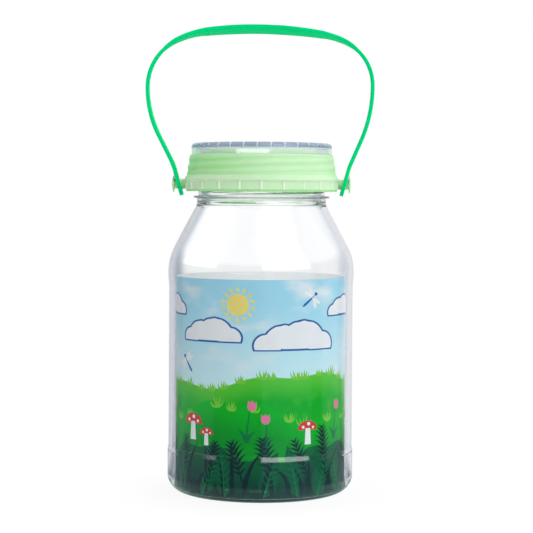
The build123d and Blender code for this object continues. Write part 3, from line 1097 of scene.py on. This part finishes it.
# Print motifs, drawn on the unrolled card as (along, height) in millimetres

def wrap(along, height, layer):
    """Point of the unrolled card, put on the rolled one."""
    radius = CARD_R + INK_STEP * layer
    return (radius * math.sin(along / CARD_R), -radius * math.cos(along / CARD_R), height)


def leaning(base, lean, length):
    """Point at a length from a base, along a lean from upright."""
    return (base[0] + length * math.sin(lean), base[1] + length * math.cos(lean))


def bowed(base, tip, curl, arc):
    """Eleven points from base to tip that bow sideways by curl, along an arc of a sine."""
    base, tip = Vector(base), Vector(tip)
    side = Vector((base.y - tip.y, tip.x - base.x)).normalized()
    shares = [i / 10 for i in range(11)]
    return [tuple(base.lerp(tip, t) + side * curl * math.sin(arc * t)) for t in shares], shares


class InkLayer:
    """All the shapes of one ink."""

    def __init__(self, name, layer, colour):
        self.name, self.layer, self.colour = name, layer, colour
        self.verts, self.faces = [], []

    def band(self, spine, halves):
        """Shape along a spine of (along, height) points with a half width at each."""
        columns = max(2, math.ceil(2 * max(halves) / INK_FACET))
        rows = []
        for i, point in enumerate(spine):
            before, after = Vector(spine[max(0, i - 1)]), Vector(spine[min(len(spine) - 1, i + 1)])
            ahead = (after - before).normalized()
            side = Vector((-ahead.y, ahead.x))
            row = []
            for k in range(columns + 1):
                spot = Vector(point) + side * halves[i] * (2 * k / columns - 1)
                row.append(len(self.verts))
                self.verts.append(wrap(spot.x, spot.y, self.layer))
            rows.append(row)
        for low, high in zip(rows, rows[1:]):
            for k in range(columns):
                self.faces.append([low[k], low[k + 1], high[k + 1], high[k]])

    def leaf(self, base, tip, width, curl=0.0, blunt=0.5):
        """Pointed leaf from base to tip that bows sideways by curl."""
        spine, shares = bowed(base, tip, curl, math.pi)
        self.band(spine, [width / 2 * math.sin(math.pi * t**blunt) + LEAF_TIP for t in shares])

    def stem(self, base, tip, width, curl=0.0):
        """Thin stalk that narrows towards its tip."""
        spine, shares = bowed(base, tip, curl, math.pi / 2)
        self.band(spine, [width / 2 * (1 - 0.6 * t) for t in shares])
        return spine

    def disc(self, middle, radius, squash=1.0, low=-1.0):
        """Round spot, or its part above a low share of its radius."""
        spine, halves = [], []
        for i in range(15):
            level = low + (1 - low) * i / 14
            spine.append((middle[0], middle[1] + radius * squash * level))
            halves.append(radius * math.sqrt(max(0.0, 1 - level**2)) + 0.01)
        self.band(spine, halves)

    def finish(self):
        """Mesh of the whole ink, on the jar. It leaves the light that soaks through the card as it is."""
        piece = make_object(self.name, self.verts, self.faces)
        piece.visible_shadow = piece.visible_diffuse = False
        piece.data.materials.append(ink(self.name, self.colour))
        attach(piece, "jar")
        return piece


def ridge(hill, along):
    """Height of a printed hill's ridge line."""
    base, waves = hill
    return base + sum(swing * math.sin(along * TURN / length + shift) for swing, length, shift in waves)


def fern(layer, base, lean, length, leaflet):
    """Fern: a bowed stalk with pairs of narrow leaflets that shorten to the tip."""
    spine = layer.stem(base, leaning(base, lean, length), 0.8, curl=-length * 0.12 * lean)
    count = round(length / 2.3)
    for i in range(1, count + 1):
        t = 0.1 + 0.9 * i / count
        k = min(9, int(10 * t))
        at = Vector(spine[k]).lerp(Vector(spine[k + 1]), 10 * t - k)
        size = leaflet * math.sin(math.pi * (0.12 + 0.8 * (1 - t)) ** 0.8)
        for side in (-1, 1):
            angle = lean + side * math.radians(66 - 26 * t)
            end = at + size * Vector((math.sin(angle), math.cos(angle)))
            layer.leaf(at, end, 0.5 + 0.12 * size, side * 0.1 * size)


def broad_leaf(blade, veins, base, lean, length, width):
    """Broad pointed leaf with a midrib and side veins."""
    ahead = Vector((math.sin(lean), math.cos(lean)))
    across = Vector((ahead.y, -ahead.x))
    tip = Vector(base) + ahead * length
    blade.leaf(base, tip, width, 0.0, 0.7)
    veins.stem(base, Vector(base) + ahead * length * 0.94, 0.7)
    for i in range(1, 6):
        t = 0.12 + 0.13 * i
        at = Vector(base) + ahead * length * t
        reach = width * 0.42 * math.sin(math.pi * t**0.7)
        for side in (-1, 1):
            veins.stem(at, at + across * side * reach + ahead * reach * 0.8, 0.4)


def cloud(inside, edge, middle, size):
    """Heaped cloud with a flat foot and a darker edge."""
    heaps = ((-0.85, 0.0, 0.4), (-0.35, 0.1, 0.6), (0.25, 0.12, 0.72), (0.85, 0.02, 0.45))
    for layer, grow in ((edge, 0.9), (inside, 0.0)):
        for along, rise, radius in heaps:
            spot = (middle[0] + along * size, middle[1] + rise * size)
            layer.disc(spot, radius * size + grow, 0.85, -0.35 - grow / size)


def sun(rays, middle, radius):
    """Sun with short rays."""
    rays.disc(middle, radius)
    for angle in even_angles(14):
        start, end = (leaning(middle, angle, radius * reach) for reach in (1.15, 1.65))
        rays.leaf(start, end, radius * 0.26, 0.0, 0.7)


def dragonfly(body, wings, middle, lean, size):
    """Dragonfly seen from above: a long thin body and two pairs of narrow wings."""
    ahead = Vector((math.sin(lean), math.cos(lean)))
    body.leaf(Vector(middle) - ahead * size, Vector(middle) + ahead * size * 0.35, size * 0.16, 0.0, 0.5)
    body.disc(Vector(middle) + ahead * size * 0.38, size * 0.12)
    for turn in (-1.25, -1.85, 1.25, 1.85):
        way = Vector((math.sin(lean + turn), math.cos(lean + turn)))
        wings.leaf(Vector(middle), Vector(middle) + way * size * 0.85, size * 0.24, 0.0, 1.2)


def grass_tuft(layer, base, height, draw):
    """Tuft of thin blades that fan out from one spot."""
    for i in range(5):
        lean = math.radians(-40 + 20 * i + draw.uniform(-6, 6))
        tall = height * draw.uniform(0.7, 1.0)
        layer.leaf(base, leaning(base, lean, tall), 0.9, -lean * 1.2, 0.6)


def toadstool(stalk, cap, spots, base, size):
    """Toadstool with a spotted cap."""
    shares = [i / 6 for i in range(7)]
    spine = [(base[0], base[1] + size * 0.9 * t) for t in shares]
    stalk.band(spine, [size * (0.2 - 0.05 * t) for t in shares])
    cap.disc((base[0], base[1] + size * 0.8), size * 0.62, 0.85, 0.0)
    for along, rise, radius in ((-0.3, 0.17, 0.085), (0.05, 0.34, 0.1), (0.34, 0.14, 0.075)):
        spots.disc((base[0] + along * size, base[1] + size * (0.8 + rise)), radius * size)


def bell_flower(stalk, petals, base, tall, lean):
    """Flower with a bowed stalk, two leaves and a cup of three petals."""
    tip = leaning(base, lean, tall)
    stalk.stem(base, tip, 0.9, lean * 4)
    stalk.leaf(base, (base[0] - tall * 0.28, base[1] + tall * 0.45), 1.6, -0.8)
    stalk.leaf(base, (base[0] + tall * 0.3, base[1] + tall * 0.38), 1.6, 0.8)
    for turn in (-0.42, 0.42, 0.0):
        petals.leaf((tip[0], tip[1] - 0.6), leaning(tip, lean + turn, 4.2), 2.4, 0.0, 0.75)


# Where the motifs stand on the unrolled card: along, height, then size, lean or tallness
CLOUDS = (
    (-24, 73, 12), (16, 70, 15), (46, 84, 10), (-52, 84, 10),
    (-82, 72, 14), (84, 72, 13), (112, 84, 11), (-112, 82, 10),
)
SUNS = ((-10, 88), (72, 87), (-96, 88))
SUN_R = 5.0
DRAGONFLIES = ((24, 91, 0.9), (-38, 62, -0.7), (58, 64, 0.6), (-70, 90, 0.8), (100, 66, -0.5))
DRAGONFLY_SIZE = 6.5
TOADSTOOLS = ((-33, 27, 9), (-25, 25, 6), (22, 26, 8), (62, 27, 9), (-84, 26, 8), (104, 25, 8))
FLOWERS = ((-6, 27, 15), (3, 25, 11), (38, 27, 14), (-52, 27, 13), (84, 26, 15), (-104, 27, 14))
LEAF_FOOT_Z = CARD_LOW_Z + 0.6


def card_print():
    """Motifs on the card: clouds, suns and dragonflies in the sky, plants and toadstools on the hills."""
    draw = random.Random(7)
    deep = InkLayer("deep_leaf_ink", 5, (0.003, 0.028, 0.032))
    leafy = InkLayer("leaf_ink", 4, (0.0, 0.105, 0.045))
    vein = InkLayer("vein_ink", 5, (0.0, 0.19, 0.06))
    bright = InkLayer("grass_ink", 3, (0.20, 0.62, 0.05))
    white = InkLayer("white_ink", 7, (0.90, 0.92, 0.94))
    blue = InkLayer("blue_ink", 6, (0.015, 0.13, 0.42))
    yellow = InkLayer("yellow_ink", 3, (0.90, 0.76, 0.22))
    red = InkLayer("red_ink", 6, (0.70, 0.05, 0.04))
    pink = InkLayer("pink_ink", 6, (0.80, 0.20, 0.36))
    for along, height, size in CLOUDS:
        cloud(white, blue, (along, height), size)
    for middle in SUNS:
        sun(yellow, middle, SUN_R)
    for along, height, lean in DRAGONFLIES:
        dragonfly(blue, white, (along, height), lean, DRAGONFLY_SIZE)
    for hill, count, sunk in ((FAR_HILL, 34, 1.0), (MIDDLE_HILL, 22, 3.0)):
        for i in range(count):
            along = -120 + 240 * i / count + draw.uniform(-2.5, 2.5)
            grass_tuft(bright, (along, ridge(hill, along) - sunk), draw.uniform(3.5, 6), draw)
    for i in range(17):
        along = -116 + 232 * i / 16 + draw.uniform(-3, 3)
        lean = math.radians(draw.uniform(-34, 34))
        broad_leaf(leafy, vein, (along, LEAF_FOOT_Z), lean, draw.uniform(17, 25), draw.uniform(8, 11))
    for i in range(40):
        base = (-120 + 6 * i + draw.uniform(-2, 2), LEAF_FOOT_Z)
        lean = math.radians(draw.uniform(-38, 38))
        deep.leaf(base, leaning(base, lean, draw.uniform(14, 27)), 2.2, lean * 5.0, 0.45)
    for i in range(16):
        base = (-110 + 232 * i / 16 + draw.uniform(-3, 3), 10 + draw.uniform(-3, 3))
        lean = math.radians(draw.uniform(-35, 35))
        fern(deep, base, lean, draw.uniform(15, 21), draw.uniform(5, 7))
    for along, height, size in TOADSTOOLS:
        toadstool(white, red, white, (along, height), size)
    for along, height, tall in FLOWERS:
        bell_flower(vein, pink, (along, height), tall, math.radians(draw.uniform(-10, 10)))
    for layer in (deep, leafy, vein, bright, white, blue, yellow, red, pink):
        layer.finish()


# Assembly

def dress(piece, body, material, replaced=None):
    """Puts a piece on its body, with its finish and the node that it stands for."""
    if material:
        piece.data.materials.clear()
        piece.data.materials.append(material)
    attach(piece, body)
    if replaced:
        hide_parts(replaced)
    return piece


def build_object():
    """Every piece, with its finish, on its body."""
    pale_green = collar_plastic()
    dress(jar_wall(), "jar", clear_plastic("clear_jar", CLEAR_JAR), "jar_body")
    dress(rolled_card(), "jar", None, "insert_card")
    card_print()
    dress(collar_ring(), "lid", pale_green, "lid_collar")
    dress(strap_lug("right_lug", 1), "lid", pale_green)
    dress(strap_lug("left_lug", -1), "lid", pale_green)
    dress(cap_disc(), "cap", None, "magnifier_cap")
    dress(carry_strap(), "strap", strap_plastic(), "carry_strap")


# Studio

def mirror_room():
    """Room that shiny faces mirror along a way: dim on the camera's side, pale behind and above."""
    group, start, end = shader_group(
        "mirror_room", [("Way", "NodeSocketVector", (0, 0, 0))], [("Color", "NodeSocketColor")]
    )
    way = node(group, "ShaderNodeSeparateXYZ", Vector=start.outputs["Way"])
    front = maths(group, "MULTIPLY", way.outputs["Y"], -1.0)
    azimuth = maths(group, "ARCTAN2", way.outputs["X"], front)
    height = way.outputs["Z"]

    def past(turn, start, end):
        return fade(group, turn, math.radians(start), math.radians(end))

    def between(low, high, soft):
        rise = past(azimuth, low - soft, low + soft)
        return maths(group, "MULTIPLY", rise, past(azimuth, high + soft, high - soft))

    away = maths(group, "ABSOLUTE", azimuth)
    right_front, left_side = between(2, 64, 2), between(-116, -57, 2)
    high = fade(group, height, 0.12, 0.16)
    level = maths(group, "MULTIPLY", fade(group, height, *SLIT_LOW), fade(group, height, *SLIT_TOP))
    colour = MIRROR_FRONT
    for share, over in (
        (right_front, MIRROR_WINDOW),
        (left_side, MIRROR_LEFT),
        (between(81, 112, 3), MIRROR_RIGHT),
        (past(away, 113, 117), MIRROR_FLAG),
        (past(azimuth, -128, -136), MIRROR_BACK_LEFT),
        (past(azimuth, 118, 136), MIRROR_BACK_RIGHT),
        (past(away, 155, 170), MIRROR_BACK),
        (fade(group, height, 0.2, 0.4), MIRROR_TOP),
        (maths(group, "MULTIPLY", high, left_side), MIRROR_LEFT_PANEL),
        (maths(group, "MULTIPLY", high, right_front), MIRROR_PANEL),
        (maths(group, "MULTIPLY", level, between(-42, 12, 2)), MIRROR_SLIT),
    ):
        colour = tint(group, share, colour, over)
    feed(group, end.inputs["Color"], colour)
    return group


MIRROR_ROOM = mirror_room()


def along_way(tree, shared, **inputs):
    """Colour that one of the studio's shared groups gives along a way."""
    return placed(tree, shared, **inputs).outputs["Color"]


def seen_through():
    """Background that shows through clear pieces along a way: white behind the jar, greyer to its sides.
    Walls is how many faces of clear pieces the way has passed."""
    group, start, end = shader_group(
        "seen_through",
        [("Way", "NodeSocketVector", (0, 0, 0)), ("Walls", "NodeSocketFloat", 0.0)],
        [("Color", "NodeSocketColor")],
    )
    way = node(group, "ShaderNodeSeparateXYZ", Vector=start.outputs["Way"])
    far = fade(group, start.outputs["Walls"], 2.0, 3.0)

    def beside(side):
        out = maths(group, "MULTIPLY", way.outputs["X"], side)
        past_far, in_wall = fade(group, out, 0.11, 0.18), fade(group, out, 0.0, 0.08, 0.0, 0.45)
        return maths(group, "MULTIPLY_ADD", maths(group, "SUBTRACT", past_far, in_wall), far, in_wall)

    behind = tint(group, beside(-1), (1, 1, 1, 1), THROUGH_LEFT)
    behind = tint(group, beside(1), behind, THROUGH_RIGHT)
    behind = tint(group, fade(group, way.outputs["Z"], 0.25, 0.8), behind, THROUGH_TOP)
    room = along_way(group, MIRROR_ROOM, Way=start.outputs["Way"])
    room = tint(group, far, room, THROUGH_FAR)
    feed(group, end.inputs["Color"], tint(group, fade(group, way.outputs["Y"], 0.4, 0.7), room, behind))
    return group


SEEN_THROUGH = seen_through()
LAMP_AIM = Vector((0, 0, 0.1))
RAY_KINDS = ("Glossy", "Transmission", "Camera")


def studio_floor():
    """Pale floor that keeps the shadow near the jar and runs out into the white background."""
    bpy.ops.mesh.primitive_plane_add(size=12, location=(0, 0, -0.00005))
    floor = bpy.context.object
    floor.name = "studio_floor"
    material, tree, principled, output = new_material("studio_floor")
    fill(tree, principled, Base_Color=(0.94, 0.94, 0.94, 1), Roughness=0.9, Specular_IOR_Level=0.0)
    place = node(tree, "ShaderNodeTexCoord").outputs["Object"]
    reach = vector_maths(tree, "LENGTH", place).outputs["Value"]
    way = vector_maths(tree, "NORMALIZE", place).outputs["Vector"]
    far = fade(tree, reach, 0.042, 0.08, 0.9, 1.0)
    near = fade(tree, reach, 0.08, 0.055)
    path = node(tree, "ShaderNodeLightPath")
    room = tint(tree, near, along_way(tree, MIRROR_ROOM, Way=way), MIRROR_TABLE)
    mirror = node(tree, "ShaderNodeEmission", Color=room, Strength=1.0)
    seen = along_way(tree, SEEN_THROUGH, Way=way, Walls=path.outputs["Transmission Depth"])
    through = node(tree, "ShaderNodeEmission", Color=seen, Strength=1.0)
    white = node(tree, "ShaderNodeEmission", Color=(1, 1, 1, 1), Strength=1.0)
    glossy, passed, camera = (path.outputs[f"Is {kind} Ray"] for kind in RAY_KINDS)
    passed, camera = (maths(tree, "MULTIPLY", share, far) for share in (passed, camera))
    stacked(tree, principled, ((glossy, mirror), (passed, through), (camera, white)), output)
    floor.data.materials.append(material)


def studio_world():
    """White background for the eye and through clear pieces, softer room for light and reflections."""
    world = bpy.data.worlds.new("studio")
    bpy.context.scene.world = world
    world.use_nodes = True
    tree = world.node_tree
    tree.nodes.clear()
    output = tree.nodes.new("ShaderNodeOutputWorld")
    path = node(tree, "ShaderNodeLightPath")
    direction = node(tree, "ShaderNodeTexCoord").outputs["Generated"]
    way = node(tree, "ShaderNodeSeparateXYZ", Vector=direction)
    seen = along_way(tree, SEEN_THROUGH, Way=direction, Walls=path.outputs["Transmission Depth"])
    through = node(tree, "ShaderNodeBackground", Color=seen, Strength=1.0)
    side = maths(tree, "MULTIPLY_ADD", way.outputs["X"], 0.6, 1.0)
    light = maths(tree, "MULTIPLY", side, fade(tree, way.outputs["Y"], 0.2, 0.9, ROOM_LIGHT, BACK_LIGHT))
    room = node(tree, "ShaderNodeBackground", Color=(0.97, 0.985, 1, 1), Strength=light)
    shown = along_way(tree, MIRROR_ROOM, Way=direction)
    mirror = node(tree, "ShaderNodeBackground", Color=shown, Strength=1.0)
    white = node(tree, "ShaderNodeBackground", Color=(1, 1, 1, 1), Strength=1.0)
    glossy, passed, camera = (path.outputs[f"Is {kind} Ray"] for kind in RAY_KINDS)
    stacked(tree, room, ((glossy, mirror), (passed, through), (camera, white)), output)


def softbox(name, azimuth, elevation, distance, width, height, radiance):
    """Rectangular lamp with soft edges that faces the jar. Azimuth 0 is the camera's side."""
    lamp = bpy.data.lights.new(name, "AREA")
    lamp.shape = "RECTANGLE"
    lamp.size, lamp.size_y = width, height
    lamp.energy = radiance * math.pi * width * height
    lamp.use_nodes = True
    tree = lamp.node_tree
    spread = node(tree, "ShaderNodeNewGeometry").outputs["Parametric"]
    place = node(tree, "ShaderNodeSeparateXYZ", Vector=spread)
    strength = 1.0
    for label in ("X", "Y"):
        off = maths(tree, "ABSOLUTE", maths(tree, "SUBTRACT", place.outputs[label], 0.5))
        strength = maths(tree, "MULTIPLY", strength, fade(tree, off, 0.5, 0.2))
    fill(tree, tree.nodes["Emission"], Strength=strength)
    holder = bpy.data.objects.new(name, lamp)
    a, e = math.radians(azimuth), math.radians(elevation)
    away = Vector((math.sin(a) * math.cos(e), -math.cos(a) * math.cos(e), math.sin(e)))
    holder.location = LAMP_AIM + away * distance
    holder.rotation_euler = away.to_track_quat("Z", "Y").to_euler()
    holder.visible_glossy = False
    bpy.context.scene.collection.objects.link(holder)


def studio_camera():
    """Camera at the photograph's viewpoint."""
    data = bpy.data.cameras.new("camera")
    data.sensor_width = SENSOR
    data.lens = FOCAL_PX / PHOTO_SIZE * SENSOR
    camera = bpy.data.objects.new("camera", data)
    turn = Matrix.Rotation(math.pi / 2 - CAMERA_PITCH, 4, "X") @ Matrix.Rotation(CAMERA_ROLL, 4, "Z")
    camera.matrix_world = Matrix.Translation(Vector((CAMERA_X, CAMERA_Y, CAMERA_Z)) * MM) @ turn
    bpy.context.scene.collection.objects.link(camera)
    bpy.context.scene.camera = camera


def build_studio():
    """Floor, background, lamps and camera, seen without a film look."""
    studio_floor()
    studio_world()
    softbox("left_softbox", azimuth=-60, elevation=40, distance=1.1, width=0.8, height=0.7, radiance=0.2)
    softbox("right_softbox", azimuth=100, elevation=14, distance=1.1, width=1.1, height=1.4, radiance=0.15)
    softbox("top_softbox", azimuth=30, elevation=52, distance=1.2, width=1.3, height=1.0, radiance=2.2)
    studio_camera()
    bpy.context.scene.view_settings.view_transform = "Standard"


build_object()
build_studio()
